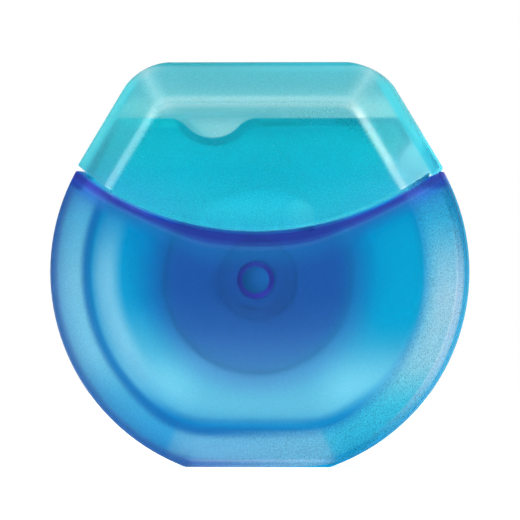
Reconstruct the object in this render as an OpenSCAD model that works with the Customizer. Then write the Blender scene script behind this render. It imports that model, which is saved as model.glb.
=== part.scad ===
// Pocket dental floss dispenser: a flat round translucent body that stands on a
// short flat, with a hinged clear cap over the neck, and a roll of floss inside.
// Millimetres. X to the right, Y to the back, Z up. The origin is the middle of the base.

/* [Body] */
// Radius of the round outline
body_r = 26.7; // [26.1:0.15:27.75]
// Height of the outline's centre above the base
body_z = 25.05; // [24.65:0.1:25.45]
// Thickness across the flat faces
body_thk = 16; // [15.5:0.25:18]
// Thickness of the narrow edge that runs round the outline
edge_thk = 10; // [9.5:0.25:11]
// Width of the bevel round the body, seen from the front
bevel_w = 5.4; // [4.8:0.1:6.4]
// Radius of the two lower corners
foot_r = 8; // [6:0.25:9]
// Wall of the two shells
wall = 1.2; // [1:0.05:1.4]
// Rounding of the ridge between face and bevel
ridge_r = 2; // [1.4:0.1:2.6]
// Rounding of the outer edge of the bevel
rim_r = 0.8; // [0.4:0.1:1.2]
// Height of the lip that locates the two shells
lip_h = 0.9; // [0.6:0.1:1.4]
// Clearance round that lip
lip_gap = 0.08; // [0.05:0.01:0.12]

/* [Shoulder] */
// Radius of the hollow curve of the shoulder
ledge_r = 37.8; // [37.4:0.1:38.6]
// Height of the lowest point of the shoulder
ledge_z = 30.2; // [29.8:0.05:30.2]
// Thickness of the shoulder
ledge_thk = 2; // [1.6:0.1:2.2]
// Rounding of the shoulder's front and back edges
ledge_edge_r = 0.6; // [0.3:0.1:0.9]
// Rounding of the two ends of the shoulder
horn_r = 0.5; // [0.3:0.1:0.8]

/* [Cap] */
// Height of the top of the cap above the base
cap_z = 51.9; // [51:0.15:54]
// Width of the top before its corners are rounded
cap_w = 30.4; // [30:0.1:30.8]
// Lean of the cap's two sides from upright, in degrees
cap_lean = 31; // [30.6:0.1:31.4]
// Radius of the two upper corners
cap_corner_r = 7.6; // [6.6:0.2:8.4]
// Width of the bevel round the cap, seen from the front
cap_bevel_w = 5.2; // [4.6:0.1:5.8]
// Wall of the cap
cap_wall = 1.1; // [0.9:0.05:1.2]
// Radius of the curved lower edge
skirt_r = 36; // [35.6:0.1:36.4]
// Height of the lowest point of that edge
skirt_z = 30.35; // [30.35:0.05:30.8]
// Rounding of that edge, front and back
skirt_edge_r = 0.4; // [0.2:0.05:0.6]

/* [Neck] */
// Gap between the neck and the inside of the cap
neck_gap = 0.4; // [0.35:0.05:0.5]
// Wall of the neck
neck_wall = 1.1; // [0.9:0.05:1.2]
// Height of the neck's flat top above the base
neck_z = 44.7; // [44.2:0.1:45.2]
// Place of the finger scoop along the top
scoop_x = -5.6; // [-6.2:0.1:-5]
// Radius of the finger scoop
scoop_r = 4.6; // [4.2:0.1:5]
// Depth of the finger scoop
scoop_d = 2.5; // [2.1:0.1:2.7]
// Rounding where the scoop meets the top
scoop_lip_r = 3.4; // [2.4:0.1:3.6]
// Place of the floss outlet along the top
outlet_x = -13.5; // [-13.7:0.1:-13.3]
// Diameter of the floss outlet
outlet_d = 1.6; // [1.4:0.1:2]
// Place of the shallow recess on the neck's front
recess_x = 5.4; // [4.5:0.1:6.5]
// Width of that recess
recess_w = 4.2; // [3.4:0.1:5]
// Height of its round top above the base
recess_z = 34.4; // [33.5:0.1:35.5]
// Depth of that recess
recess_d = 0.5; // [0.3:0.05:0.6]

/* [Hinge] */
// Distance of the hinge axis from the cap's side and from its lower edge
hinge_in = 1.5; // [1.45:0.05:1.6]
// Radius of the lug's barrel
lug_r = 1.2; // [1.1:0.05:1.25]
// Width of the lug, front to back
lug_w = 4.4; // [4:0.1:5]
// Thickness of the lug's stem
lug_stem = 1.1; // [0.9:0.1:1.4]
// Thickness of the rib that ties the lug to the neck
lug_rib = 1.2; // [0.8:0.1:1.6]
// Radius of the cap's two hinge pins
pin_r = 0.58; // [0.5:0.02:0.62]
// Radial play of a pin in the lug
pin_play = 0.07; // [0.04:0.01:0.08]
// Thickness of each of the cap's two hinge cheeks
cheek_thk = 1.2; // [1:0.1:1.5]
// Gap between a cheek and the lug
cheek_gap = 0.3; // [0.3:0.05:0.4]
// Radius of the cap's ear about the hinge axis, at its lower right corner
swing_r = 2.2; // [2.1:0.05:2.3]
// Direction of the ear's inner edge from the hinge axis, in degrees
ear_ang = -55; // [-60:1:-45]
// Gap between the ear and the groove that it swings in
swing_gap = 0.3; // [0.3:0.02:0.4]
// Gap between the swinging corner and the neck
relief = 0.4; // [0.35:0.05:0.6]

/* [Roll] */
// Sideways place of the roll's axis
roll_x = 0; // [-0.2:0.05:0.2]
// Height of the roll's axis above the base
roll_z = 24; // [23.6:0.1:24.4]
// Radius of the hub post moulded on the front shell
post_r = 2.38; // [2.2:0.02:2.6]
// Wall of that post
post_wall = 0.63; // [0.5:0.01:0.75]
// Length of the spigot that the back shell puts into the post
spigot_l = 4; // [3:0.25:5]
// Radial play of the bobbin on the post, and of the spigot in it
hub_play = 0.08; // [0.05:0.01:0.1]
// Radius of the bobbin
bobbin_r = 5; // [4.6:0.1:5.4]
// Radius of the short sleeves at the bobbin's ends
sleeve_r = 3.5; // [3.3:0.1:3.7]
// Clearance between the wound part of the roll and each shell's wall
roll_side = 2; // [1.9:0.05:2.2]
// Play of the bobbin between the shells, at each end
side_play = 0.35; // [0.3:0.05:0.5]
// Radius of the wound floss under its outer layer
pack_r = 11.9; // [11.6:0.1:12]
// Diameter of the floss
floss_d = 0.45; // [0.4:0.01:0.46]
// Distance of the outer layer's first and last turn from the roll's ends
wind_in = 0.05; // [0.02:0.01:0.1]
// Turns in the outer layer
floss_turns = 10; // [8:1:10]
// Small gap between one wound layer and the next
layer_gap = 0.06; // [0.04:0.01:0.1]

/* [Cutter] */
// Left end of the cutter's plate
cutter_x = 0; // [-0.1:0.05:0.3]
// Length of the plate
cutter_l = 5; // [4.8:0.1:5.4]
// Width of the plate
cutter_w = 3.6; // [3.2:0.1:4]
// Thickness of the steel
cutter_t = 0.3; // [0.25:0.05:0.35]
// Length of the legs below the plate
leg_l = 2.2; // [1.8:0.1:2.6]
// Width of the legs
leg_w = 2.2; // [1.8:0.1:2.6]
// Length of the raised tooth
tooth_l = 2.2; // [1.9:0.1:2.4]
// Width of the tooth at its root
tooth_w = 1.8; // [1.5:0.1:2.1]
// Rise of the tooth, in degrees
tooth_rise = 35; // [30:1:40]
// Distance of the tooth's root from the plate's right end
tooth_in = 0.9; // [0.7:0.1:1.1]
// Play of the cutter in its seat
cutter_play = 0.05; // [0.04:0.01:0.08]

/* [Hidden] */
$fn = 96;
// Overrun of every cut
over = 0.5;
// A length that is surely larger than the object
far = 3 * body_r;
face_y = body_thk / 2;
edge_y = edge_thk / 2;
body_slope = (face_y - edge_y) / bevel_w;
cap_slope = (face_y - edge_y) / cap_bevel_w;
ledge_cz = ledge_z + ledge_r;
skirt_cz = skirt_z + skirt_r;
neck_in = cap_wall + neck_gap;
bore_in = neck_in + neck_wall;
inner_y = face_y - wall;
// Width of the wound part of the roll, and the step of its outer layer from turn to turn
roll_w = 2 * (inner_y - roll_side);
floss_pitch = (roll_w - floss_d - 2 * wind_in) / floss_turns;

// Outward direction of the cap's right side, and a point on that side
side_n = [cos(cap_lean), sin(cap_lean)];
side_p = [cap_w / 2, cap_z];

// Hinge axis: as far from the side as from the lower edge
hinge_base = side_p - hinge_in * side_n - [0, skirt_cz];
hinge_dir = [side_n[1], -side_n[0]];
hinge_b = hinge_base * hinge_dir;
hinge_c = hinge_base * hinge_base - pow(skirt_r - hinge_in, 2);
hinge_t = -hinge_b + sqrt(hinge_b * hinge_b - hinge_c);
hinge = hinge_base + hinge_t * hinge_dir + [0, skirt_cz];
echo(hinge = hinge);

// Steps of each rounded edge
ridge_steps = 6;
rim_steps = 5;
// Corners are eased by this much, outwards and to both sides, where they run into their neighbours
ease = 0.03;

// Half thickness of a bevelled slab against the distance in from its outline, when it is set
// in by t all round: rounded rim, bevel, rounded ridge, flat face
function bevel_curve(t, slope, len) =
    let (
        a = atan(slope),
        f = face_y - t,
        e = edge_y + t * slope - t / cos(a),
        rr = max(ridge_r - t, 0),
        re = max(rim_r - t, 0),
        cr = [t + (f - e) / slope + rr * tan(a / 2), f - rr],
        ce = [t + re, e + re * slope - re / cos(a)]
    )
    concat(
        [for (i = [0:(re > 0 ? rim_steps : 0)]) let (g = 90 - i * (90 - a) / rim_steps) ce + re * [-sin(g), cos(g)]],
        [for (i = [(rr > 0 ? 0 : ridge_steps):ridge_steps]) let (g = a - i * a / ridge_steps) cr + rr * [-sin(g), cos(g)]],
        [[len, f]]
    );

// Cross-section of that slab, out to the distance len from its outline
function bevel_points(t, slope, len) =
    let (
        curve = bevel_curve(t, slope, far),
        side = concat([for (q = curve) if (q[0] < len) q], [[len, lookup(len, curve)]])
    )
    concat(side, [for (k = [len(side) - 1:-1:0]) [side[k][0], -side[k][1]]]);

// Stands an outline drawn in X and Z upright, from y0 to y1
module stand(y0, y1) {
    translate([0, y1, 0]) rotate([90, 0, 0]) linear_extrude(y1 - y0) children();
}

// A cylinder along Y through the point p, from y0 to y1
module rod(p, r, y0, y1) {
    translate([p[0], y1, p[1]]) rotate([90, 0, 0]) cylinder(r = r, h = y1 - y0);
}

// The same, right through the object
module bore(p, r) {
    rod(p, r, -face_y - over, face_y + over);
}

// A bevelled disc about the point p, made thicker by lift on both sides
module bevel_disc(p, r, t, slope, lift = 0) {
    translate([p[0], 0, p[1]]) rotate([90, 0, 0]) rotate_extrude()
        polygon([for (q = bevel_points(t, slope, r)) [max(r - q[0], 0), q[1] + sign(q[1]) * lift]]);
}

// A bevelled half slab whose side passes through p and faces the direction at angle ang
module bevel_side(p, ang, t, slope) {
    translate([p[0], 0, p[1]]) rotate([0, -ang, 0]) translate([0, 0, -far])
        linear_extrude(2 * far) polygon([for (q = bevel_points(t, slope, far)) [-q[0], q[1]]]);
}

// The wedge outside the point c between the directions at angles a0 and a1
module wedge(c, a0, a1, l) {
    am = (a0 + a1) / 2;
    lm = l / cos((a1 - a0) / 2);
    stand(-face_y - over, face_y + over)
        polygon([c, c + l * [cos(a0), sin(a0)], c + lm * [cos(am), sin(am)], c + l * [cos(a1), sin(a1)]]);
}

// Body outline: round, with a flat base and rounded lower corners, set in by t
foot_cx = sqrt(pow(body_r - foot_r, 2) - pow(body_z - foot_r, 2));
foot_ang = atan2(foot_r - body_z, foot_cx);
module body_form(t) {
    difference() {
        intersection() {
            bevel_disc([0, body_z], body_r, t, body_slope);
            bevel_side([0, 0], -90, t, body_slope);
        }
        for (s = [0, 1]) mirror([s, 0, 0]) difference() {
            wedge([foot_cx, foot_r], -90, foot_ang, 2 * foot_r);
            bevel_disc([foot_cx, foot_r], foot_r + ease, t, body_slope, ease);
        }
    }
}

// Cap outline: flat top, leaning sides and rounded upper corners, set in by t
cap_c = side_p - cap_corner_r * [tan((90 - cap_lean) / 2), 1];
module cap_form(t) {
    difference() {
        intersection() {
            bevel_side([0, cap_z], 90, t, cap_slope);
            bevel_side(side_p, cap_lean, t, cap_slope);
            bevel_side([-side_p[0], side_p[1]], 180 - cap_lean, t, cap_slope);
        }
        for (s = [0, 1]) mirror([s, 0, 0]) difference() {
            wedge(cap_c, cap_lean, 90, 2 * cap_corner_r);
            bevel_disc(cap_c, cap_corner_r + ease, t, cap_slope, ease);
        }
    }
}

// Turns a section drawn by radius and Y about the middle of an arc at height z
module about_arc(z) {
    translate([0, 0, z]) rotate([90, 0, 0]) rotate_extrude() children();
}

// The shoulder's cut: all above its arc, flared so that its front and back edges come out round
module shoulder_cut() {
    bore([0, ledge_cz], ledge_r);
    about_arc(ledge_cz) for (s = [0, 1]) mirror([0, s])
        translate([ledge_r - over, face_y - ledge_edge_r]) difference() {
            square(ledge_edge_r + over);
            translate([ledge_edge_r + over, 0]) circle(ledge_edge_r);
        }
}

// The two horns of the shoulder are rounded in the front view
horn_dz = ledge_cz - body_z;
horn_z = body_z + (horn_dz * horn_dz + pow(body_r - horn_r, 2) - pow(ledge_r + horn_r, 2)) / (2 * horn_dz);
horn_c = [sqrt(pow(body_r - horn_r, 2) - pow(horn_z - body_z, 2)), horn_z];
horn_a0 = atan2(horn_c[1] - body_z, horn_c[0]);
horn_a1 = atan2(ledge_cz - horn_c[1], -horn_c[0]);
module horn_cut() {
    difference() {
        wedge(horn_c, horn_a0, horn_a1, 2 * horn_r);
        bore(horn_c, horn_r + ease);
    }
}

// Finger scoop across the top of the neck: a round valley with rounded lips
scoop_c = [scoop_x, neck_z - scoop_d + scoop_r];
lip_dz = scoop_c[1] - (neck_z - scoop_lip_r);
lip_dx = sqrt(pow(scoop_r + scoop_lip_r, 2) - lip_dz * lip_dz);
module scoop_cut() {
    bore(scoop_c, scoop_r);
    stand(-face_y, face_y) translate(scoop_c) for (s = [0, 1]) mirror([s, 0]) difference() {
        polygon([[0, 0], [lip_dx, -lip_dz], [lip_dx, 0]]);
        translate([lip_dx, -lip_dz]) circle(scoop_lip_r + ease);
    }
}

// Everything below the height z
module below(z) {
    translate([-far, -far, z - 2 * far]) cube(2 * far);
}

// Neck, as a block
module neck_block() {
    difference() {
        intersection() {
            cap_form(neck_in);
            below(neck_z);
            bore([0, ledge_cz], ledge_r + ledge_thk / 2);
        }
        scoop_cut();
        bore(hinge, swing_r + relief);
    }
}

// The room inside the neck, open to the body
module neck_room() {
    difference() {
        intersection() {
            cap_form(bore_in);
            below(neck_z - neck_wall);
            bore([0, ledge_cz], ledge_r + ledge_thk + over);
        }
        bore(scoop_c, scoop_r + neck_wall);
        bore(hinge, swing_r + relief + neck_wall);
    }
}

// The room inside the body, under the shoulder
module body_room(t) {
    difference() {
        body_form(t);
        bore([0, ledge_cz], ledge_r + ledge_thk);
    }
}

// Lug that carries the cap: a barrel on a short stem, tied to the neck by a thin rib
module lug() {
    low = ledge_cz - sqrt(pow(ledge_r, 2) - pow(hinge[0] - 2 * lug_r, 2)) - over;
    rib_l = swing_r + relief + over;
    rod(hinge, lug_r, -lug_w / 2, lug_w / 2);
    difference() {
        union() {
            translate([hinge[0] - lug_stem / 2, -lug_w / 2, low]) cube([lug_stem, lug_w, hinge[1] - low]);
            translate([hinge[0] - rib_l, -lug_rib / 2, low]) cube([rib_l, lug_rib, hinge[1] - low]);
        }
        difference() {
            bore([0, body_z], 2 * body_r);
            bore([0, ledge_cz], ledge_r + ledge_thk / 2);
        }
    }
}

// Groove in the shoulder for the cap's ear. A web as wide as the lug stays standing in it.
module groove() {
    difference() {
        bore(hinge, swing_r + swing_gap);
        translate([-far, -lug_w / 2, -far]) cube([far + hinge[0] + hinge_in, lug_w, 2 * far]);
    }
}

// Seat of the cutter: a shallow recess in the neck's top with two slots for the legs
module cutter_seat() {
    p = cutter_play;
    translate([cutter_x - p, -cutter_w / 2 - p, neck_z - cutter_t])
        cube([cutter_l + 2 * p, cutter_w + 2 * p, cutter_t + over]);
    for (x = [cutter_x, cutter_x + cutter_l - cutter_t])
        translate([x - p, -leg_w / 2 - p, neck_z - leg_l - over]) cube([cutter_t + 2 * p, leg_w + 2 * p, leg_l + over]);
}

// Both shells in one, before they are parted
module shells() {
    difference() {
        union() {
            difference() {
                body_form(0);
                shoulder_cut();
                for (s = [0, 1]) mirror([s, 0, 0]) horn_cut();
                groove();
            }
            neck_block();
            lug();
        }
        body_room(wall);
        neck_room();
        bore(hinge, pin_r + pin_play);
        translate([outlet_x, 0, neck_z - neck_wall - over]) cylinder(d = outlet_d, h = neck_wall + 2 * over);
        cutter_seat();
        stand(-face_y + neck_in - over, -face_y + neck_in + recess_d) {
            translate([recess_x, recess_z - recess_w / 2]) circle(recess_w / 2);
            translate([recess_x - recess_w / 2, ledge_z]) square([recess_w, recess_z - recess_w / 2 - ledge_z]);
        }
    }
}

module half(s) {
    translate([-far, s > 0 ? 0 : -far, -far]) cube([2 * far, far, 2 * far]);
}

module slab(y0, y1) {
    translate([-far, y0, -far]) cube([2 * far, y1 - y0, 2 * far]);
}

// Front shell, with the hollow hub post and a rebate for the back shell's lip
module front_shell() {
    color([0.02, 0.55, 0.8]) difference() {
        union() {
            intersection() {
                shells();
                half(-1);
            }
            rod([roll_x, roll_z], post_r, -inner_y - wall / 2, inner_y - side_play);
        }
        intersection() {
            body_room(wall / 2);
            slab(-lip_h - lip_gap, over);
            difference() {
                bore([0, body_z], 2 * body_r);
                bore([roll_x, roll_z], 2 * post_r);
            }
        }
        rod([roll_x, roll_z], post_r - post_wall, -inner_y, inner_y);
    }
}

// Back shell, with the locating lip and the spigot that closes the hub post
module back_shell() {
    color([0.03, 0.5, 0.78]) {
        intersection() {
            shells();
            half(1);
        }
        difference() {
            intersection() {
                body_room(wall / 2 + lip_gap);
                slab(-lip_h, over);
            }
            body_room(wall);
            bore([0, ledge_cz], ledge_r + ledge_thk + lip_gap);
        }
        rod([roll_x, roll_z], post_r - post_wall - hub_play, inner_y - spigot_l, inner_y + wall / 2);
    }
}

// Cap: one hollow moulding, open below, with two cheeks and pins at its right corner
module cap() {
    slot_y = lug_w / 2 + cheek_gap;
    color([0.35, 0.8, 0.85]) {
        difference() {
            intersection() {
                cap_form(0);
                union() {
                    about_arc(skirt_cz) difference() {
                        translate([0, -face_y - over]) square([skirt_r, body_thk + 2 * over]);
                        for (s = [0, 1]) mirror([0, s]) translate([skirt_r - skirt_edge_r, face_y - skirt_edge_r])
                            difference() {
                                square(skirt_edge_r + over + skirt_edge_r);
                                circle(skirt_edge_r);
                            }
                    }
                    intersection() {
                        bore(hinge, swing_r);
                        wedge(hinge, ear_ang, cap_lean, 2 * swing_r);
                    }
                }
            }
            cap_form(cap_wall);
            difference() {
                wedge(hinge, ear_ang, cap_lean, 2 * swing_r);
                bore(hinge, swing_r);
            }
            translate([hinge[0], 0, hinge[1]]) rotate([0, -cap_lean, 0])
                translate([0, -slot_y, -2 * swing_r])
                    cube([hinge_in + over, 2 * slot_y, 2 * swing_r + lug_r + 2 * swing_gap]);
        }
        for (s = [0, 1]) mirror([0, s, 0]) {
            intersection() {
                rod(hinge, swing_r, slot_y, slot_y + cheek_thk);
                cap_form(0);
                bore([0, skirt_cz], skirt_r);
            }
            rod(hinge, pin_r, cheek_gap, slot_y + cheek_thk / 2);
        }
    }
}

// Cutter: a stamped steel plate with two legs and one raised tooth
module cutter() {
    root_x = cutter_x + cutter_l - tooth_in;
    mid = (cutter_x + root_x) / 2;
    color([0.75, 0.77, 0.8]) {
        difference() {
            translate([cutter_x, -cutter_w / 2, neck_z - cutter_t]) cube([cutter_l, cutter_w, cutter_t]);
            translate([root_x - tooth_l, -tooth_w / 2, neck_z - cutter_t - over])
                cube([tooth_l, tooth_w, cutter_t + 2 * over]);
        }
        for (x = [cutter_x, cutter_x + cutter_l - cutter_t])
            translate([x, -leg_w / 2, neck_z - leg_l]) cube([cutter_t, leg_w, leg_l - cutter_t / 2]);
        translate([root_x, 0, neck_z - cutter_t]) rotate([0, tooth_rise, 0]) linear_extrude(cutter_t)
            polygon([[0, tooth_w / 2], [-tooth_l, 0], [0, -tooth_w / 2]]);
    }
}

// Bobbin: a plain core with a short sleeve at each end
module bobbin() {
    sleeve_y = inner_y - side_play;
    c = [roll_x, roll_z];
    color([0.9, 0.9, 0.88]) difference() {
        union() {
            rod(c, bobbin_r, -roll_w / 2, roll_w / 2);
            rod(c, sleeve_r, -sleeve_y, sleeve_y);
        }
        bore(c, post_r + hub_play);
    }
}

// The wound floss under its outer layer, as one plain ring with eased edges
module floss_pack() {
    chamfer = floss_d;
    h = roll_w / 2;
    color([0.93, 0.97, 0.95]) translate([roll_x, 0, roll_z]) rotate([90, 0, 0]) rotate_extrude()
        polygon([[bobbin_r + layer_gap, -h], [pack_r - chamfer, -h], [pack_r, -h + chamfer],
            [pack_r, h - chamfer], [pack_r - chamfer, h], [bobbin_r + layer_gap, h]]);
}

// A round tube of diameter d along the points p, with n sides. Its rings stand square to the route.
function unit(v) = v / norm(v);
module tube(p, d, n) {
    m = len(p);
    rings = [for (i = [0:m - 1])
        let (t = unit(p[min(i + 1, m - 1)] - p[max(i - 1, 0)]), u = unit(cross(t, [0, 1, 0])), v = cross(u, t))
        for (k = [0:n - 1]) p[i] + d / 2 * (cos(k * 360 / n) * u + sin(k * 360 / n) * v)];
    sides = [for (i = [0:m - 2], k = [0:n - 1])
        let (a = i * n + k, b = i * n + (k + 1) % n) each [[a, b, b + n], [a, b + n, a + n]]];
    first = [for (k = [1:n - 2]) [0, k + 1, k]];
    last = [for (k = [1:n - 2]) [(m - 1) * n, (m - 1) * n + k, (m - 1) * n + k + 1]];
    polyhedron(rings, concat(sides, first, last));
}

// Outer layer of floss: one unbroken tube, each end running straight for one diameter
wind_steps = 24;
wind_r = (pack_r + layer_gap + floss_d / 2) / cos(180 / wind_steps);
function wind_at(a) = [roll_x - wind_r * cos(a), (a / 360 - floss_turns / 2) * floss_pitch, roll_z + wind_r * sin(a)];
wind_core = [for (i = [0:wind_steps * floss_turns]) wind_at(i * 360 / wind_steps)];
wind_end = len(wind_core) - 1;
wind = concat(
    [wind_core[0] - [0, 0, floss_d]],
    wind_core,
    [wind_core[wind_end] + [0, 0, floss_d]]
);
wind_gap = min([for (i = [0:len(wind) - 1]) for (j = [i + wind_steps / 2:1:len(wind) - 1]) norm(wind[i] - wind[j])]) - floss_d;
echo(least_gap_between_turns = wind_gap);
module floss_winding() {
    color([0.96, 0.99, 0.97]) tube(wind, floss_d, 6);
}

// The strand that leaves the roll, climbs through the outlet, crosses the scoop and ends under the tooth
lead_route = [
    [-12.9, 2, 24.4],
    [-13.1, 1.4, 30],
    [-13.4, 0.6, 37],
    [-13.5, 0, 43],
    [-13.5, 0, 44.2],
    [-13.4, 0, 44.7],
    [-13.1, 0, 45],
    [-12.6, 0, 45.1],
    [-8, 0, 45.1],
    [-3, 0, 45.1],
    [2, 0, 45.1]
];
lead_ring = 3 * floss_d;
lead = concat([for (i = [0:len(lead_route) - 2])
    let (a = lead_route[i], b = lead_route[i + 1], k = ceil(norm(b - a) / lead_ring))
    for (j = [0:k - 1]) a + (b - a) * j / k], [lead_route[len(lead_route) - 1]]);
function route_length(p, i = 1) = i < len(p) ? norm(p[i] - p[i - 1]) + route_length(p, i + 1) : 0;
echo(lead_length = route_length(lead), lead_rings = len(lead));
module floss_lead() {
    color([0.96, 0.99, 0.97]) tube(lead, floss_d, 8);
}

front_shell();
back_shell();
cap();
cutter();
bobbin();
floss_pack();
floss_winding();
floss_lead();
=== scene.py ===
# %% [markdown]
# # A pocket dental floss dispenser
# The object is a flat round box of frosted blue plastic. A turquoise cap turns over its neck, and a roll of
# floss sits on a post inside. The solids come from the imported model, so this script is mostly about looks:
# frosted plastic that lets light through, a stamped steel cutter, and floss wound in turns.

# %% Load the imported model
import math

import bmesh
import bpy
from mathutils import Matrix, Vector


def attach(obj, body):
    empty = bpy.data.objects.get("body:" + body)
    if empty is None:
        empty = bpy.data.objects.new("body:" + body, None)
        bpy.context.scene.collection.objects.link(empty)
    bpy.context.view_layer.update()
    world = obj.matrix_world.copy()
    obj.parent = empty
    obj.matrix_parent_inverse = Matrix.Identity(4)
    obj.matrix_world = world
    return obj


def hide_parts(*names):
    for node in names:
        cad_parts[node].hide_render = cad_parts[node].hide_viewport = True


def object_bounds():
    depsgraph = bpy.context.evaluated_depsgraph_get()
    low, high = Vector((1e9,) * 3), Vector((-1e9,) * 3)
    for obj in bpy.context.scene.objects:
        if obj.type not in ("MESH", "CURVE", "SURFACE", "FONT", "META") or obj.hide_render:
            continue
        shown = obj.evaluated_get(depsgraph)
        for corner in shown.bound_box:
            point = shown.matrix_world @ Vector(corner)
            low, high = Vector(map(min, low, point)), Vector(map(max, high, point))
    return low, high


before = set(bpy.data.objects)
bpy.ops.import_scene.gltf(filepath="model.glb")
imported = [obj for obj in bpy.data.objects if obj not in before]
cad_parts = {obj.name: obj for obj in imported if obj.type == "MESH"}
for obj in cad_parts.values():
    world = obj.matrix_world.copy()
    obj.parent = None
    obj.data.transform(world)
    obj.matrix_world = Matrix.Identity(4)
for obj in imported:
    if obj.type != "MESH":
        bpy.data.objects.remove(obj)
cad_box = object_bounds()
MM = 0.001
print("nodes:", sorted(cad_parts))
print("box in mm:", [[round(c / MM, 2) for c in corner] for corner in cad_box])

# %% [markdown]
# ## Camera
# The photograph is taken from far away and about four degrees from the right: the side wall of the rim shows
# as a narrow strip on the right alone, and the ridges and the hub, which lie in front, have moved to the left.
# A long lens at that angle does the same. The aim point and the width of the frame were read off the outline.

# %% Camera
AIM = Vector((-0.04, 0, 26.55)) * MM
FRAME_WIDTH = 66.9 * MM
LENS = 600.0
FROM_RIGHT = math.radians(4.4)

scene = bpy.context.scene
camera_data = bpy.data.cameras.new("camera")
camera_data.lens = LENS
camera = bpy.data.objects.new("camera", camera_data)
scene.collection.objects.link(camera)
camera_distance = FRAME_WIDTH * LENS / camera_data.sensor_width
camera.location = AIM + camera_distance * Vector((math.sin(FROM_RIGHT), -math.cos(FROM_RIGHT), 0))
camera.rotation_euler = (math.pi / 2, 0, FROM_RIGHT)
camera_data.clip_start = camera_distance / 100
camera_data.clip_end = camera_distance * 10
scene.camera = camera
print("camera distance in m:", round(camera_distance, 3))

# %% [markdown]
# ## Helpers for materials
# A node tree is easier to read when each node is one call. `Tree` wraps a material's nodes: `math_` adds a
# Math node, `ramp` a Color Ramp, `mix` a Mix node for colours. Colours are written as on screen and turned
# into the linear values that shaders use.

# %% Node helpers


def linear(r, g, b):
    """A screen colour, 0 to 255, as the linear colour that shaders use."""
    def one(c):
        c /= 255
        return c / 12.92 if c <= 0.04045 else ((c + 0.055) / 1.055) ** 2.4
    return (one(r), one(g), one(b), 1.0)


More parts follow.
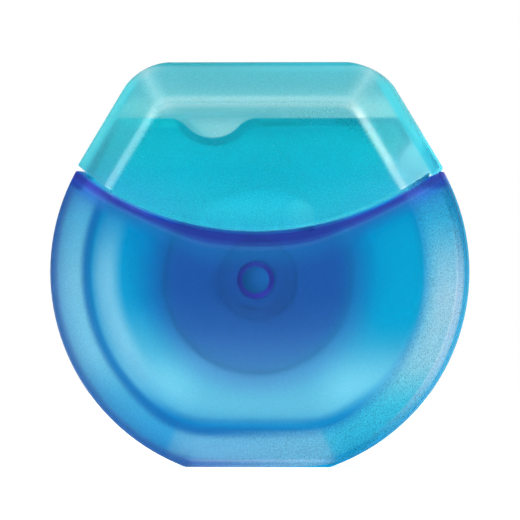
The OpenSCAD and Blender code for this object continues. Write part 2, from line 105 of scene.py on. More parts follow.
class Tree:
    """The nodes of one material or group, each made by one call."""

    def __init__(self, tree):
        self.tree = tree
        self.tree.nodes.clear()

    def node(self, kind, **settings):
        made = self.tree.nodes.new(kind)
        for name, value in settings.items():
            setattr(made, name, value)
        return made

    def put(self, socket, value):
        """Links a socket to an input, or sets the input to a plain value."""
        if isinstance(value, bpy.types.NodeSocket):
            self.tree.links.new(value, socket)
        elif value is not None:
            socket.default_value = value

    def math_(self, operation, a, b=None, c=None, clamp=False):
        made = self.node("ShaderNodeMath", operation=operation, use_clamp=clamp)
        for socket, value in zip(made.inputs, (a, b, c)):
            self.put(socket, value)
        return made.outputs[0]

    def product(self, *values):
        """All the values multiplied."""
        made = values[0]
        for value in values[1:]:
            made = self.math_("MULTIPLY", made, value)
        return made

    def line(self, value, slope, start):
        """slope * value + start."""
        return self.math_("MULTIPLY_ADD", value, slope, start)

    def opposite(self, mask):
        """1 where the mask is 0, and 0 where it is 1."""
        return self.math_("SUBTRACT", 1.0, mask)

    def mix(self, factor, a, b):
        made = self.node("ShaderNodeMix", data_type="RGBA")
        for name, value in (("Factor", factor), ("A", a), ("B", b)):
            socket = [s for s in made.inputs if s.name == name and s.enabled][0]
            self.put(socket, value)
        return [s for s in made.outputs if s.enabled][0]

    def step(self, value, low, high):
        """0 below low, 1 above high and smooth between them. With low above high it falls."""
        made = self.node("ShaderNodeMapRange", interpolation_type="SMOOTHSTEP")
        up = low < high
        for name, v in zip(("Value", "From Min", "From Max", "To Min", "To Max"),
                           (value, min(low, high), max(low, high), 0.0 if up else 1.0, 1.0 if up else 0.0)):
            self.put(made.inputs[name], v)
        return made.outputs[0]

    def ramp(self, value, full, stops):
        """Colours along a value that runs from 0 to full, in the value's own units."""
        made = self.node("ShaderNodeValToRGB")
        self.put(made.inputs[0], self.math_("DIVIDE", value, full))
        elements = made.color_ramp.elements
        while len(elements) < len(stops):
            elements.new(0.5)
        for element, (at, colour) in zip(elements, stops):
            element.position = at / full
        for element, (at, colour) in zip(elements, stops):
            element.color = colour
        return made.outputs[0]

    def brighten(self, colour, factor):
        """A colour made brighter or darker by a factor."""
        made = self.node("ShaderNodeVectorMath", operation="SCALE")
        self.put(made.inputs[0], colour)
        self.put(made.inputs["Scale"], factor)
        most = self.node("ShaderNodeVectorMath", operation="MINIMUM")
        self.put(most.inputs[0], made.outputs[0])
        self.put(most.inputs[1], (1, 1, 1))
        return most.outputs[0]

    def distance(self, x, z, centre_x, centre_z):
        """How far the point x, z is from a centre."""
        dx, dz = self.math_("SUBTRACT", x, centre_x), self.math_("SUBTRACT", z, centre_z)
        squares = self.math_("ADD", self.math_("MULTIPLY", dx, dx), self.math_("MULTIPLY", dz, dz))
        return self.math_("SQRT", squares)

    def bump(self, height, strength, distance):
        made = self.node("ShaderNodeBump")
        for name, v in (("Height", height), ("Strength", strength), ("Distance", distance)):
            self.put(made.inputs[name], v)
        return made.outputs[0]

    def place(self):
        """Object coordinates, and their X, Y and Z."""
        coord = self.node("ShaderNodeTexCoord").outputs["Object"]
        split = self.node("ShaderNodeSeparateXYZ")
        self.put(split.inputs[0], coord)
        return coord, *split.outputs

    def place_in_mm(self):
        """Object coordinates, and their X, Y and Z in millimetres."""
        coord, *axes = self.place()
        return coord, *(self.math_("DIVIDE", axis, MM) for axis in axes)

    def noise(self, where, scale, detail=2.0, rough=0.5):
        made = self.node("ShaderNodeTexNoise")
        for name, v in (("Vector", where), ("Scale", scale), ("Detail", detail), ("Roughness", rough)):
            self.put(made.inputs[name], v)
        return made.outputs["Fac"]

    def group(self, shared, **values):
        made = self.node("ShaderNodeGroup", node_tree=shared)
        for name, v in values.items():
            self.put(made.inputs[name.replace("_", " ")], v)
        return made.outputs

    def shader(self, **values):
        made = self.node("ShaderNodeBsdfPrincipled")
        for name, v in values.items():
            self.put(made.inputs[name.replace("_", " ")], v)
        return made.outputs[0]

    def surface(self, shader):
        out = self.node("ShaderNodeOutputMaterial")
        self.tree.links.new(shader, out.inputs["Surface"])


def new_material(name):
    made = bpy.data.materials.new(name)
    made.use_nodes = True
    return made, Tree(made.node_tree)


def new_group(name, inputs, outputs):
    """An empty node group with number or colour sockets, and its input and output nodes."""
    shared = bpy.data.node_groups.new(name, "ShaderNodeTree")
    for socket, kind, value in inputs:
        made = shared.interface.new_socket(socket, in_out="INPUT", socket_type=kind)
        if value is not None:
            made.default_value = value
    for socket, kind in outputs:
        shared.interface.new_socket(socket, in_out="OUTPUT", socket_type=kind)
    tree = Tree(shared)
    return shared, tree, tree.node("NodeGroupInput").outputs, tree.node("NodeGroupOutput").inputs


def dress(names, material):
    """Gives CAD nodes a material. Their mesh isn't touched."""
    for name in names:
        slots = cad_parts[name].material_slots
        for slot in slots:
            slot.material = material
        print(name, "wears", material.name, "in", len(slots), "slot")


# %% [markdown]
# ## Frosted plastic
# Such a box is moulded in a spark-eroded steel mould. The mould leaves a fine even grain, which scatters
# the light that passes, so that what is inside shows only as a soft shape. Three things make the look: a
# glass-like shader with a rough surface, a tint that the light takes on at each wall, and the grain in the
# colour and the bump. Both plastics use the same grain, so it is a node group.

# %% Grain of the mould
FLOAT, VECTOR = "NodeSocketFloat", "NodeSocketVector"
mould_grain, t, given, gives = new_group(
    "mould_grain",
    [("Where", VECTOR, None), ("Size", FLOAT, 0.25), ("Roughness", FLOAT, 0.35), ("Spread", FLOAT, 0.06)],
    [("Roughness", FLOAT), ("Height", FLOAT), ("Speckle", FLOAT)],
)
pitch = t.math_("DIVIDE", 1.0 / MM, given["Size"])
fine = t.noise(given["Where"], pitch, 2.0, 0.6)
patches = t.noise(given["Where"], t.math_("MULTIPLY", pitch, 0.02), 2.0, 0.5)
uneven = t.math_("ADD", t.math_("SUBTRACT", fine, 0.5), t.math_("SUBTRACT", patches, 0.5))
t.put(gives["Roughness"], t.line(uneven, given["Spread"], given["Roughness"]))
t.put(gives["Height"], fine)
t.put(gives["Speckle"], t.math_("SUBTRACT", fine, 0.5))
print("grain group:", [s.name for s in mould_grain.interface.items_tree])


# %% [markdown]
# Light from behind goes through two walls before it is seen, and each wall tints it once. So a wall's
# colour is the square root of the colour that shows in front of white.

# %% Colours of a wall


def wall(r, g, b, walls=2):
    """The base colour of a wall that shows as this screen colour when white light has passed through so many."""
    return tuple(c ** (1 / walls) for c in linear(r, g, b)[:3]) + (1.0,)


def frosted(t, colour, speckle, where, size, roughness, spread, bump, tint, glow):
    """Frosted plastic. Lamps shine through it and take on its tint, so that what is inside is lit.

    Light that travels inside a wall leaves it at the edges, which the plain shader can't follow far enough:
    glow gives it back there.
    """
    grain = t.group(mould_grain, Where=where, Size=size, Roughness=roughness, Spread=spread)
    normal = t.bump(grain["Height"], bump, 0.04 * MM)
    speckled = t.brighten(colour, t.line(speckle, grain["Speckle"], 1.0))
    plastic = t.shader(Base_Color=speckled, Roughness=grain["Roughness"], IOR=1.49, Normal=normal,
                       Transmission_Weight=1.0, Specular_Tint=(0.1, 0.7, 1.0, 1),
                       Emission_Color=glow, Emission_Strength=1.0)
    clear = t.node("ShaderNodeBsdfTransparent")
    t.put(clear.inputs["Color"], tint)
    either = t.node("ShaderNodeMixShader")
    t.put(either.inputs[0], t.node("ShaderNodeLightPath").outputs["Is Shadow Ray"])
    t.put(either.inputs[1], plastic)
    t.put(either.inputs[2], clear.outputs[0])
    t.surface(either.outputs[0])


# %% [markdown]
# ## Where a point lies on the body
# The light takes longer ways through some parts of the body, which then look darker and more violet: the
# thick shoulder, the rim, and the turn of the wall at the ridge. That shade is painted into the colour, and so
# is the light that leaves the bevel pale and grainy, most on the right, where it meets the light. All of this
# follows the outline, so the material works out how far in from the outline each point is, in millimetres,
# and how far below the shoulder.

# %% The body's plastic
BODY_R, BODY_Z = 26.7, 25.05  # mm, like every length in the two plastics
LEDGE_R, LEDGE_Z = 37.8, 68.0
ROLL_X, ROLL_Z = 0.0, 24.0
SCOOP = (-5.6, 46.8)
SCOOP_R = 5.4
RECESS = (5.4, 32.3)
HINGE = (21.15, 39.09)
CAP_TOP, CAP_HALF, CAP_LEAN = 51.9, 15.2, math.radians(31.0)
CAP_SIDE = CAP_HALF * math.cos(CAP_LEAN) + CAP_TOP * math.sin(CAP_LEAN)
NECK_IN, NECK_TOP = 1.5, 43.9
CORNER_ROUND = 2.0
MIDDLE = 8.0
RIDGE_IN, RIDGE_LOWER = 4.75, 0.35
FACET_HALF, FACET_SLOPE = 10.0, 0.45
SHELL_GRAIN, CAP_GRAIN = 0.15, 0.16
SHELL_ROUGHNESS, CAP_ROUGHNESS = 0.38, 0.26
SHELL_TINT, CAP_TINT = (0.35, 0.86, 1.0, 1), (0.6, 0.88, 0.92, 1)
EDGE_GLOW = 0.06
DARK = (0, 0, 0, 1)

shell_plastic, t = new_material("shell_plastic")
where, x, y, z = t.place_in_mm()
across = t.math_("ABSOLUTE", x)
rightness = t.step(x, -MIDDLE, MIDDLE)
inset = t.math_("SUBTRACT", BODY_R, t.distance(x, z, 0.0, BODY_Z))
inset = t.math_("SMOOTH_MIN", inset, z, CORNER_ROUND)
under = t.math_("SUBTRACT", t.distance(x, z, 0.0, LEDGE_Z), LEDGE_R)
above = t.step(under, 0.05, -0.05)
not_above = t.opposite(above)

# The face, with painted light and shade: deep at the top, paler towards the base and at its low sides, where
# light comes up from below, a painted shade on the left, a more saturated patch on the right, and a saturated
# strip inside the ridge, a painted shade in the wall's inner corner
colour = t.ramp(z, 40, [(7.0, wall(98, 184, 211)), (11.5, wall(78, 171, 206)), (15.5, wall(50, 159, 201)),
                        (22.0, wall(4, 136, 190)), (29.0, wall(0, 131, 188))])
low_sides_light = t.product(t.step(across, 6.0, 12.0), t.step(z, 16.0, 10.0))
colour = t.mix(t.product(low_sides_light, 0.6), colour, wall(134, 220, 240))
right_patch = t.product(t.step(x, 11.0, 17.0), t.step(z, 14.0, 20.0))
colour = t.mix(right_patch, colour, wall(0, 150, 198))
left_painted_shade = t.product(t.step(x, -8.0, -13.0), t.step(z, 16.0, 22.0), 0.6)
colour = t.mix(left_painted_shade, colour, wall(0, 116, 182))
strip = t.product(t.step(inset, 4.4, 4.8), t.step(inset, 6.8, 5.3), t.step(z, 12.0, 6.0))
colour = t.mix(strip, colour, wall(30, 160, 208, 1))

# A second pale band inside the left ridge: a painted highlight
ridge_highlight_band = t.product(t.step(inset, 5.3, 6.9), t.step(inset, 9.7, 7.5), t.step(x, -12.0, -17.0), t.step(z, 36.0, 24.0))
colour = t.mix(ridge_highlight_band, colour, wall(140, 208, 230))

# The roll's shade seen through the wall, painted as a soft dark disc, and the hub's ring in its middle,
# painted dark where the light runs along the post's wall, round a paler middle. Only the outer walls
# take these: the post inside is plain.
from_hub = t.distance(x, z, ROLL_X, ROLL_Z)
outside = t.step(t.math_("ABSOLUTE", y), 6.3, 6.75)
shade = t.ramp(z, 40, [(13.0, wall(76, 110, 186)), (18.0, wall(46, 66, 158)), (22.0, wall(34, 52, 148))])
colour = t.mix(t.product(t.step(from_hub, 16.2, 10.4), 0.9, outside), colour, shade)
hub_middle = t.product(t.step(from_hub, 2.0, 1.6), outside, 0.5)
colour = t.mix(hub_middle, colour, wall(34, 104, 200))
ring = t.product(t.step(from_hub, 1.60, 1.85), t.step(from_hub, 2.50, 2.25), outside, 0.9)
colour = t.mix(ring, colour, wall(104, 24, 220))
post = t.product(t.step(from_hub, 2.8, 2.5), t.opposite(outside))
colour = t.mix(post, colour, (0.1, 0.75, 0.92, 1))

# The bevel, painted with the light it catches, paler on the right: its left and its right side, and the flat
# facet above the base, which widens towards the base
left = t.ramp(z, 40, [(3.0, wall(36, 146, 202)), (9.0, wall(60, 161, 203)), (14.0, wall(112, 192, 219)),
                      (24.0, wall(118, 195, 221)), (32.0, wall(80, 176, 211)), (37.0, wall(50, 120, 186))])
right = t.ramp(z, 40, [(3.0, wall(40, 168, 206)), (8.0, wall(54, 181, 213)), (13.0, wall(138, 196, 219)),
                       (22.0, wall(162, 201, 223)), (27.0, wall(126, 186, 216)), (32.0, wall(44, 158, 202)),
                       (37.0, wall(40, 120, 186))])
bevel = t.mix(rightness, left, right)
from_middle = t.math_("ABSOLUTE", t.math_("ADD", x, 1.0))
lean = t.product(t.math_("SUBTRACT", 4.7, z), FACET_SLOPE)
aside = t.math_("SUBTRACT", from_middle, lean)
bevel = t.mix(t.step(aside, FACET_HALF, FACET_HALF - 1.2), bevel, wall(102, 172, 206))
ridge_at = t.line(t.step(z, 5.0, 12.0), RIDGE_LOWER, RIDGE_IN)
within = t.math_("SUBTRACT", inset, ridge_at)
colour = t.mix(t.step(within, 0.3, -0.4), colour, bevel)

# Painted shade: the dark line of the ridge itself and the dark rim on the left, where the light runs along
# the wall; and the side wall that shows on the right, painted a deeper blue where the light runs along it
ridge_shade_line = t.product(t.step(within, -1.2, -0.2), t.step(within, 0.9, 0.1), t.line(rightness, -0.6, 0.95))
colour = t.mix(ridge_shade_line, colour, wall(30, 130, 192, 1))
left_rim_shade = t.product(t.step(inset, 1.5, 0.3), t.opposite(rightness))
colour = t.mix(left_rim_shade, colour, wall(40, 76, 168))
side_wall = t.step(inset, 0.2, 0.06)
right_rim = t.product(side_wall, rightness)
colour = t.mix(right_rim, colour, (0.0, 0.42, 0.74, 1))

# The shoulder, which thins out to the sides, painted with light and shade: a bright line, a dark violet band
# where the light runs through the shoulder lengthwise, a paler line and a soft shade
below = t.product(under, t.line(t.step(across, 6.0, 17.0), 0.7, 1.0))
for inner, outer, strength, shade in ((5.5, 2.4, 0.8, wall(26, 96, 172)), (2.7, 2.2, 0.8, wall(76, 108, 190)),
                                      (2.1, 1.8, 1.0, wall(58, 48, 156)), (1.7, 1.2, 1.0, wall(50, 18, 134)),
                                      (0.5, 0.25, 1.0, wall(13, 130, 189))):
    colour = t.mix(t.product(t.step(below, inner, outer), strength), colour, shade)

# The neck, hazy at its sides, with the recess in its front
neck = t.ramp(z, 60, [(33.0, (0.26, 0.86, 0.93, 1)), (38.0, (0.03, 0.81, 0.895, 1)), (44.0, (0.015, 0.80, 0.88, 1))])
haze = t.product(t.step(across, 7.0, 18.0), t.step(z, 44.0, 34.0), 0.4)
neck = t.mix(haze, neck, (0.4, 0.9, 0.95, 1))
from_recess = t.distance(x, t.math_("MAXIMUM", z, RECESS[1]), *RECESS)
in_recess = t.product(t.step(from_recess, 2.2, 1.8), t.step(y, -5.0, -6.0), t.step(x, 2.6, 6.0), 0.9)
neck = t.mix(in_recess, neck, (0.55, 0.97, 1.0, 1))

# The edges of the neck's top wall, its scoop, its sides and the hinge's lug are painted pale for the light that runs
# in the wall
from_hinge = t.distance(x, z, *HINGE)
from_scoop = t.distance(x, z, *SCOOP)
leaning = t.math_("ADD", t.product(across, math.cos(CAP_LEAN)), t.product(z, math.sin(CAP_LEAN)))
neck_side = t.math_("SUBTRACT", CAP_SIDE - NECK_IN, leaning)
edge = t.math_("MAXIMUM", t.step(z, NECK_TOP - 0.7, NECK_TOP), t.step(from_scoop, SCOOP_R + 0.6, SCOOP_R))
edge = t.math_("MAXIMUM", edge, t.product(t.step(from_hinge, 2.2, 2.7), t.step(from_hinge, 4.0, 3.5)))
edge = t.math_("MAXIMUM", edge, t.step(neck_side, 2.0, 1.0))
edge = t.product(edge, above)
neck = t.mix(edge, neck, (0.06, 1.0, 1.0, 1))
# Painted light round the hinge: the neck is made pale there, over the dark shapes of the hinge's parts
neck = t.mix(t.product(t.step(from_hinge, 5.0, 3.6), 0.85), neck, (0.7, 0.98, 1.0, 1))
colour = t.mix(above, colour, neck)

# Painted glow for the light that leaves the walls: at the neck's upper edges, on and beside the right rim, and at
# the shoulder's two horns
glow = t.brighten((0.0, 0.62, 0.76), t.product(edge, t.step(z, 38.0, 44.0), EDGE_GLOW))
glow = t.mix(t.product(right_rim, not_above), glow, (0.0, 0.03, 0.045, 1))
beside_rim = t.product(t.step(inset, 1.25, 1.0), t.step(inset, 0.05, 0.95))
beside_rim = t.product(beside_rim, rightness, t.step(z, 34.0, 21.0), t.step(z, 2.0, 14.0))
glow = t.mix(beside_rim, glow, (0.19, 0.12, 0.11, 1))
horn = t.product(t.step(across, 18.5, 21.0), t.step(under, 3.0, 1.0), not_above)
glow = t.mix(horn, glow, (0.012, 0.016, 0.085, 1))

# The grain shows most on the bevel, and there most on the right, where its extra strength is a painted sparkle of
# the light
speckle = t.product(t.step(within, 0.2, -0.3), t.line(rightness, 2.4, 0.6))
speckle = t.math_("ADD", speckle, t.line(above, 0.5, 0.5))
roughness = t.product(above, t.line(t.step(z, 42.0, 37.0), 0.34, 0.04))
roughness = t.math_("ADD", roughness, SHELL_ROUGHNESS)
roughness = t.line(t.product(side_wall, not_above), 0.4, roughness)
frosted(t, colour, speckle, where, SHELL_GRAIN, roughness, 0.08, 0.25, SHELL_TINT, glow)
dress(["front_shell", "back_shell"], shell_plastic)

# %% [markdown]
# ## The cap
# The cap is a thinner and paler moulding. It has its own bevel all round, painted pale as lit, and a bright ridge
# where the bevel meets the face, a painted highlight. The same idea as on the body gives how far in from its
# outline a point is: from the flat top, or from the leaning sides. At the two upper corners the bevel turns, and
# a painted highlight stands for the light it catches there.

# %% The cap's plastic
cap_plastic, t = new_material("cap_plastic")
where, x, y, z = t.place_in_mm()
rightness = t.step(x, -MIDDLE, MIDDLE)
out_x = t.product(t.math_("ABSOLUTE", x), math.cos(CAP_LEAN))
out_z = t.product(z, math.sin(CAP_LEAN))
from_side = t.math_("SUBTRACT", CAP_SIDE, t.math_("ADD", out_x, out_z))
from_top = t.math_("SUBTRACT", CAP_TOP, z)
inset = t.math_("SMOOTH_MIN", from_side, from_top, CORNER_ROUND)
bevel = t.step(inset, 5.2, 4.6)
ridge = t.product(t.step(inset, 4.1, 4.9), t.step(inset, 6.05, 5.15))
rim = t.step(inset, 1.5, 0.9)
from_hinge = t.distance(x, z, *HINGE)

# The face, paler along its lower edge as painted light; the bevel at the sides, painted pale as lit and paler
# on the right; the bevel's two turns and the ridge, painted highlights; the top edge, painted deeper where the
# light runs along the wall; and the hinge, painted pale where its parts would show dark through the cap
colour = t.ramp(z, 60, [(33.0, wall(192, 240, 244)), (38.0, wall(164, 228, 235)), (42.0, wall(154, 222, 230)),
                        (45.5, wall(98, 188, 200)), (47.5, wall(80, 178, 190)), (50.5, wall(94, 184, 196))])
sides = t.mix(rightness, wall(130, 210, 214), wall(150, 220, 224))
colour = t.mix(t.product(bevel, t.step(from_top, 3.0, 6.5)), colour, sides)
off_corner = t.math_("ABSOLUTE", t.math_("SUBTRACT", from_side, from_top))
corner = t.math_("SUBTRACT", 1.0, t.product(off_corner, 0.55), clamp=True)
corner = t.product(corner, corner, t.step(inset, 5.6, 4.0), 0.8)
colour = t.mix(corner, colour, wall(186, 232, 238))
colour = t.mix(t.product(ridge, t.line(t.step(from_top, 5.5, 8.0), 0.25, 0.75)), colour, wall(216, 244, 247))
top_edge = t.product(t.step(inset, 0.8, 0.3), t.step(from_top, 3.0, 1.0))
colour = t.mix(top_edge, colour, wall(30, 176, 190, 1))
colour = t.mix(t.product(t.step(from_hinge, 3.4, 2.4), 0.85), colour, (0.9, 1.0, 1.0, 1))

# The side wall is seen lengthwise at the rim, where it takes on more colour, painted here, and a painted glow
# stands for the light inside it. The ridge and the bevel get a painted glow for the light they catch, most on
# the right, and so do the outer walls round the hinge.
colour = t.mix(t.product(rim, t.step(from_top, 1.0, 3.0)), colour, (0.14, 0.80, 0.88, 1))
bevel_glow = t.mix(rightness, (0.004, 0.008, 0.006, 1), (0.018, 0.030, 0.024, 1))
glow = t.mix(t.product(bevel, t.step(from_top, 3.0, 7.0)), DARK, bevel_glow)
glow = t.mix(t.product(rim, t.line(rightness, 0.6, 0.4)), glow, (0.005, 0.045, 0.055, 1))
shine = t.product(t.step(from_top, 5.0, 8.0), t.line(rightness, 0.55, 0.45))
glow = t.mix(t.product(ridge, ridge, shine), glow, (0.20, 0.18, 0.15, 1))
at_hinge = t.step(from_hinge, 4.4, 2.8)
outer_wall = t.step(t.math_("ABSOLUTE", y), 5.6, 6.2)
glow = t.mix(t.product(at_hinge, outer_wall, 0.8), glow, (0.02, 0.09, 0.10, 1))

smooth = t.step(inset, 0.8, 1.6)
speckle = t.product(smooth, t.line(t.step(inset, 5.6, 4.6), 0.45, 0.6))
roughness = t.line(bevel, 0.2, t.line(at_hinge, 0.3, CAP_ROUGHNESS))
frosted(t, colour, speckle, where, CAP_GRAIN, roughness, 0.05, t.product(smooth, 0.08), CAP_TINT, glow)
dress(["cap"], cap_plastic)

# %% [markdown]
# ## Cutter and bobbin
# The cutter is stamped from thin stainless strip, which is rolled, so fine lines run along it. The bobbin
# is a plain white moulding with a slightly uneven gloss.

# %% Steel and white plastic
steel_strip, t = new_material("steel_strip")
where = t.place()[0]
stretch = t.node("ShaderNodeMapping")
t.put(stretch.inputs["Vector"], where)
stretch.inputs["Scale"].default_value = (1, 30, 30)
lines = t.noise(stretch.outputs[0], 900.0, 3.0, 0.6)
t.surface(t.shader(
    Base_Color=t.mix(lines, (0.60, 0.61, 0.63, 1), (0.80, 0.81, 0.83, 1)),
    Metallic=1.0,
    Roughness=t.line(lines, 0.2, 0.32),
    Normal=t.bump(lines, 0.15, 0.01 * MM),
))
dress(["cutter"], steel_strip)

bobbin_plastic, t = new_material("bobbin_plastic")
where = t.place()[0]
cloud = t.noise(where, 500.0, 3.0)
t.surface(t.shader(
    Base_Color=t.mix(cloud, (0.74, 0.76, 0.75, 1), (0.86, 0.87, 0.85, 1)),
    Roughness=t.line(cloud, 0.2, 0.3),
    Normal=t.bump(t.noise(where, 4000.0), 0.1, 0.01 * MM),
))
dress(["bobbin"], bobbin_plastic)

# %% [markdown]
# ## Floss
# Waxed floss is a bundle of fine filaments, wound turn beside turn. Each piece of it is a grid that is bent
# into its shape: one direction of the grid runs along the piece, the other goes round it. A tube follows
# a route of points, and the roll's inner layers follow a profile that is turned about the hub.

# %% Floss pieces
FLOSS_D = 0.45 * MM
ROLL = Vector((ROLL_X, 0, ROLL_Z)) * MM
PACK_R, CORE_R, PACK_HALF = 11.9 * MM, 5.06 * MM, 4.8 * MM
PACK_TURNS, TURN_POINTS, RING_STEPS = 21, 6, 192
TURN_DEPTH, END_RINGS, END_RELIEF = 0.12 * MM, 16, 0.05 * MM
TURNS, STEPS = 10, 96
WIND_CLEARANCE, WIND_MARGIN = 0.06 * MM, 0.05 * MM
FACET_HALF_ANGLE = math.radians(7.5)
WIND_R = (PACK_R + WIND_CLEARANCE + FLOSS_D / 2) / math.cos(FACET_HALF_ANGLE)
WIND_STEP = (2 * PACK_HALF - FLOSS_D - 2 * WIND_MARGIN) / TURNS
LEAD_STEP = 0.5 * MM


def bent_grid(name, along, around, bend, closed=False):
    """A mesh whose grid point (i, k) goes where bend says. Its ends are filled unless it closes on itself."""
    mesh = bmesh.new()
    bmesh.ops.create_grid(mesh, x_segments=along, y_segments=around, size=0.5)
    for vert in mesh.verts:
        i = round((vert.co.x + 0.5) * along)
        k = round((vert.co.y + 0.5) * around)
        vert.co = bend(i, k % around)
    bmesh.ops.remove_doubles(mesh, verts=mesh.verts, dist=1e-7)
    if not closed:
        bmesh.ops.holes_fill(mesh, edges=mesh.edges, sides=0)
    bmesh.ops.recalc_face_normals(mesh, faces=mesh.faces)
    for face in mesh.faces:
        face.smooth = len(face.verts) == 4
    data = bpy.data.meshes.new(name)
    mesh.to_mesh(data)
    mesh.free()
    made = bpy.data.objects.new(name, data)
    scene.collection.objects.link(made)
    return made


def tube(name, route, diameter, around=12):
    """A round tube along a route of points."""
    def bend(i, k):
        ahead = (route[min(i + 1, len(route) - 1)] - route[max(i - 1, 0)]).normalized()
        out = ahead.cross(Vector((0, 1, 0))).normalized()
        side = out.cross(ahead)
        angle = math.tau * k / around
        return route[i] + diameter / 2 * (math.cos(angle) * out + math.sin(angle) * side)
    return bent_grid(name, len(route) - 1, around, bend)


# The inner layers: a ring whose outside shows the turns of the layer below
profile = []
for i in range(PACK_TURNS * TURN_POINTS + 1):
    across = i / (PACK_TURNS * TURN_POINTS)
    hollow = 1 - math.sqrt(max(1 - (2 * (across * PACK_TURNS % 1) - 1) ** 2, 0))
    edge = max(0.0, abs(2 * across - 1) * PACK_HALF - (PACK_HALF - FLOSS_D))
    profile.append((PACK_R - TURN_DEPTH * hollow - edge, (2 * across - 1) * PACK_HALF))
for side in (1, -1):
    ends = []
    for i in range(1, END_RINGS + 1):
        end_r = PACK_R - FLOSS_D + (CORE_R - PACK_R + FLOSS_D) * i / END_RINGS
        ends.append((end_r, side * (PACK_HALF - END_RELIEF * (i % 2))))
    profile = profile + ends if side > 0 else profile + ends[::-1]


def turned(i, k):
    r, y = profile[k]
    angle = math.tau * i / RING_STEPS
    return ROLL + Vector((r * math.cos(angle), y, r * math.sin(angle)))


inner_layers = bent_grid("inner_layers", RING_STEPS, len(profile), turned, closed=True)

# The outer layer: one tube of ten open turns
wind_route = []
for i in range(TURNS * STEPS + 1):
    turn = i / STEPS
    angle = math.tau * turn
    wind_y = (turn - TURNS / 2) * WIND_STEP
    wind_route.append(ROLL + Vector((-WIND_R * math.cos(angle), wind_y, WIND_R * math.sin(angle))))
wind_route = [wind_route[0] - Vector((0, 0, FLOSS_D))] + wind_route + [wind_route[-1] + Vector((0, 0, FLOSS_D))]
outer_layer = tube("outer_layer", wind_route, FLOSS_D)

# The strand to the cutter, on the route that the solid has
lead_points = [(-12.9, 2, 24.4), (-13.1, 1.4, 30), (-13.4, 0.6, 37), (-13.5, 0, 43), (-13.5, 0, 44.2),
               (-13.4, 0, 44.7), (-13.1, 0, 45), (-12.6, 0, 45.1), (-8, 0, 45.1), (-3, 0, 45.1), (2, 0, 45.1)]
lead_points = [Vector(p) * MM for p in lead_points]
lead_route = []
for a, b in zip(lead_points, lead_points[1:]):
    pieces = max(2, math.ceil((b - a).length / LEAD_STEP))
    lead_route += [a.lerp(b, i / pieces) for i in range(pieces)]
lead_route.append(lead_points[-1])
lead_strand = tube("lead_strand", lead_route, FLOSS_D)

for piece, node, body in ((inner_layers, "floss_pack", "roll"), (outer_layer, "floss_winding", "roll"),
                          (lead_strand, "floss_lead", "body")):
    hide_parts(node)
    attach(piece, body)
    print(piece.name, "has", len(piece.data.polygons), "faces")

# %% [markdown]
# The fibres run along the strand. On the roll that is round the hub, so the material stretches its noise
# along the angle about the hub; on the strand to the cutter the same noise is fine enough to pass for it.

# %% Floss material
floss_fibre, t = new_material("floss_fibre")
where, x, y, z = t.place_in_mm()
from_hub = t.distance(x, z, ROLL_X, ROLL_Z)
round_hub = t.node("ShaderNodeMath", operation="ARCTAN2")
t.put(round_hub.inputs[0], t.math_("SUBTRACT", z, ROLL_Z))
t.put(round_hub.inputs[1], t.math_("SUBTRACT", x, ROLL_X))
laid = t.node("ShaderNodeCombineXYZ")
t.put(laid.inputs[0], t.math_("MULTIPLY", round_hub.outputs[0], 4.0))
t.put(laid.inputs[1], t.math_("MULTIPLY", y, 16.0))
t.put(laid.inputs[2], t.math_("MULTIPLY", from_hub, 16.0))
strands = t.noise(laid.outputs[0], 1.0, 3.0, 0.6)
t.surface(t.shader(
    Base_Color=t.mix(strands, (0.70, 0.80, 0.79, 1), (0.90, 0.96, 0.94, 1)),
    Roughness=t.line(strands, 0.2, 0.35),
    Sheen_Weight=0.2,
    Normal=t.bump(strands, 0.4, 0.03 * MM),
))
for piece in (inner_layers, outer_layer, lead_strand):
    piece.data.materials.append(floss_fibre)

# %% [markdown]
# ## Floor, background and light
# The photograph is on pure white with no horizon. The world is white for the camera and for what is seen
# in or through the plastic, and a calmer grey as a light. The floor is pale and keeps the shadow.

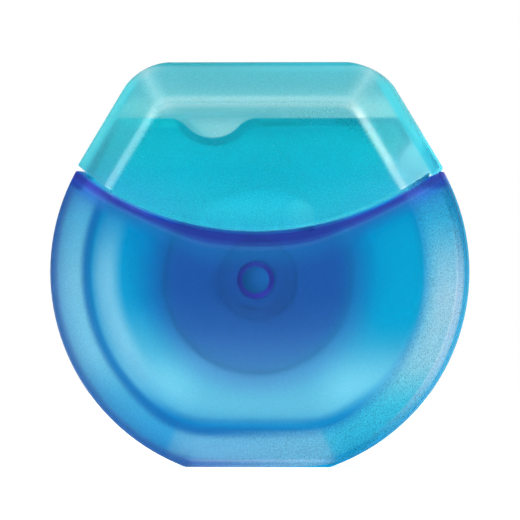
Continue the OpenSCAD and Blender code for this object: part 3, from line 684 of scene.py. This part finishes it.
# %% World
world = bpy.data.worlds.new("studio")
scene.world = world
world.use_nodes = True
t = Tree(world.node_tree)
path = t.node("ShaderNodeLightPath").outputs
seen = t.math_("MAXIMUM", path["Is Camera Ray"], path["Is Transmission Ray"])
seen = t.math_("MULTIPLY", seen, t.math_("LESS_THAN", path["Diffuse Depth"], 0.5))
background = t.node("ShaderNodeBackground")
t.put(background.inputs["Color"], (1, 1, 1, 1))
through = t.math_("MAXIMUM", path["Is Diffuse Ray"], path["Is Transmission Ray"])
t.put(background.inputs["Strength"], t.math_("MAXIMUM", seen, t.math_("MULTIPLY_ADD", through, 0.35, 0.3)))
t.tree.links.new(background.outputs[0], t.node("ShaderNodeOutputWorld").inputs["Surface"])

# %% Floor
FLOOR_HALF, FLOOR_GLOW = 0.6, 0.75
floor_mesh = bpy.data.meshes.new("floor")
mesh = bmesh.new()
bmesh.ops.create_grid(mesh, x_segments=2, y_segments=2, size=FLOOR_HALF)
bmesh.ops.translate(mesh, verts=mesh.verts, vec=(0, 0, cad_box[0].z))
mesh.to_mesh(floor_mesh)
mesh.free()
floor = bpy.data.objects.new("floor", floor_mesh)
scene.collection.objects.link(floor)
floor_paper, t = new_material("floor_paper")
path = t.node("ShaderNodeLightPath").outputs
in_plastic = t.math_("MAXIMUM", path["Is Glossy Ray"], path["Is Transmission Ray"])
seen = t.math_("MAXIMUM", path["Is Camera Ray"], in_plastic)
t.surface(t.shader(
    Base_Color=(0.85, 0.85, 0.85, 1),
    Roughness=0.8,
    Emission_Color=(1, 1, 1, 1),
    Emission_Strength=t.product(seen, FLOOR_GLOW),
))
floor_mesh.materials.append(floor_paper)

# %% Lamps


def soft_lamp(name, place, size, power):
    data = bpy.data.lights.new(name, "AREA")
    data.shape = "RECTANGLE"
    data.size, data.size_y = size
    data.energy = power
    lamp = bpy.data.objects.new(name, data)
    scene.collection.objects.link(lamp)
    lamp.location = place
    lamp.rotation_euler = (AIM - Vector(place)).to_track_quat("-Z", "Y").to_euler()


soft_lamp("key", (-0.25, -0.35, 0.35), (0.4, 0.4), 0.8)
soft_lamp("right", (0.40, -0.25, 0.06), (0.2, 0.4), 0.7)
soft_lamp("top", (0.0, 0.05, 0.45), (0.4, 0.3), 0.8)

scene.view_settings.view_transform = "Standard"
